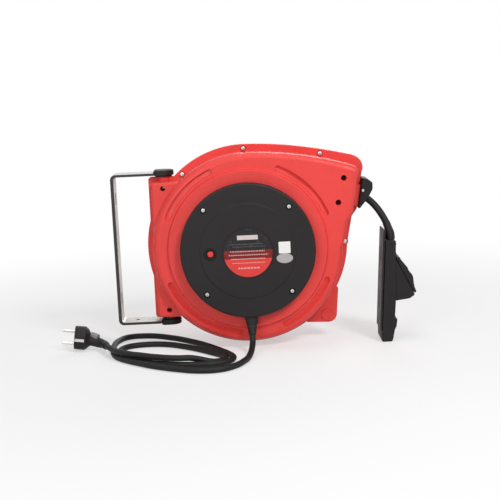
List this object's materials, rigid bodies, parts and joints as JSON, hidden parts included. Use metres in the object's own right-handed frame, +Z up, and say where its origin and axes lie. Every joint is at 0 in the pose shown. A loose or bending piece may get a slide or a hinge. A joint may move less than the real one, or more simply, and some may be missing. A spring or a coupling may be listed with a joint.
{
  "type": "cable reel",
  "caption": "Spring-return extension cable reel with a round two-part housing, a swivelling wall bracket, an outlet socket on the reeled cable and a supply cord with a plug.",
  "frame": {"origin": "on the floor under the middle of the reel's box, measured without its cords", "axes": "+X to the right along the front, towards the cable mouth; +Y from the front to the back, along the drum's axle; +Z up"},
  "size_m": [0.5357, 0.2432, 0.3],
  "materials": {
    "red_plastic": "moulded, slightly glossy",
    "black_plastic": "moulded, satin",
    "grey_plastic": "moulded, matte",
    "black_rubber": "matte",
    "cord_sheath": "satin",
    "label_film": "printed film",
    "white_film": "film",
    "zinc_steel": "zinc plated",
    "spring_steel": "blued",
    "brass": "turned",
    "carbon": "pressed carbon",
    "nickel": "nickel plated"
  },
  "bodies": {
    "housing": {"front_shell": "red_plastic", "rear_shell": "red_plastic", "shell_screw_left": "zinc_steel", "shell_screw_top": "zinc_steel", "shell_screw_fan": "zinc_steel", "shell_screw_right": "zinc_steel", "pivot_screw_upper": "zinc_steel", "pivot_screw_lower": "zinc_steel", "lug_screw": "zinc_steel", "terminal_cover": "black_plastic", "supply_boot": "black_rubber", "rating_label": "label_film", "square_sticker": "white_film", "oval_sticker": "white_film", "cover_screw_1": "zinc_steel", "cover_screw_2": "zinc_steel", "cover_screw_3": "zinc_steel", "cover_screw_4": "zinc_steel", "overload_switch": "black_plastic", "terminal_block": "grey_plastic", "axle": "zinc_steel", "brush_holder": "grey_plastic", "brush_line": "carbon", "brush_neutral": "carbon", "brush_earth": "carbon", "pawl_pin": "zinc_steel", "pawl_spring": "spring_steel", "roller_pin_upper": "zinc_steel", "roller_pin_lower": "zinc_steel", "cable_stop_front": "black_rubber", "cable_stop_rear": "black_rubber", "stop_screw": "zinc_steel", "output_cord_lead": "cord_sheath", "output_cord": "cord_sheath", "socket_body": "black_rubber", "socket_back_plate": "black_plastic", "socket_insert": "grey_plastic", "socket_boot": "black_rubber", "supply_cord": "cord_sheath", "supply_cord_loops": "cord_sheath", "supply_cord_tail": "cord_sheath", "plug_body": "black_rubber", "plug_pin_upper": "nickel", "plug_pin_lower": "nickel", "plug_earth_clip": "nickel"},
    "drum": {"drum_front": "grey_plastic", "drum_rear": "grey_plastic", "cable_winding": "cord_sheath", "slip_ring": "brass", "mainspring": "spring_steel"},
    "pawl": {"ratchet_pawl": "spring_steel"},
    "roller_upper": {"roller_upper": "black_plastic"},
    "roller_lower": {"roller_lower": "black_plastic"},
    "button": {"reset_button": "red_plastic"},
    "lid": {"socket_lid": "black_rubber"},
    "bracket": {"wall_bracket": "zinc_steel", "bracket_cap_upper": "black_plastic", "bracket_cap_lower": "black_plastic", "pivot_pin_upper": "zinc_steel", "pivot_pin_lower": "zinc_steel"}
  },
  "joints": [
    {"name": "drum_spin", "type": "hinge", "parent": "housing", "child": "drum", "pos_m": [0.0115, 0.01155, 0.15], "axis": [0, 1, 0], "continuous": true},
    {"name": "pawl_swing", "type": "hinge", "parent": "housing", "child": "pawl", "pos_m": [-0.03165, 0.04905, 0.22474], "axis": [0, 1, 0], "range_deg": [0, 76], "stiffness_Nm_per_rad": 0.05},
    {"name": "roller_upper_spin", "type": "hinge", "parent": "housing", "child": "roller_upper", "pos_m": [0.1554, 0.01155, 0.2476], "axis": [0, 1, 0], "continuous": true},
    {"name": "roller_lower_spin", "type": "hinge", "parent": "housing", "child": "roller_lower", "pos_m": [0.1464, 0.01155, 0.212], "axis": [0, 1, 0], "continuous": true},
    {"name": "reset_press", "type": "slide", "parent": "housing", "child": "button", "axis": [0, 1, 0], "range_m": [0, 0.003], "stiffness_N_per_m": 300, "springref_m": -0.002},
    {"name": "lid_open", "type": "hinge", "parent": "housing", "child": "lid", "pos_m": [0.23302, -0.01245, 0.12374], "axis": [0, -1, 0], "range_deg": [0, 110], "stiffness_Nm_per_rad": 0.02, "springref_deg": -28.65},
    {"name": "bracket_swing", "type": "hinge", "parent": "housing", "child": "bracket", "pos_m": [-0.1095, 0.01155, 0.15], "axis": [0, 0, 1], "range_deg": [-90, 90]}
  ]
}
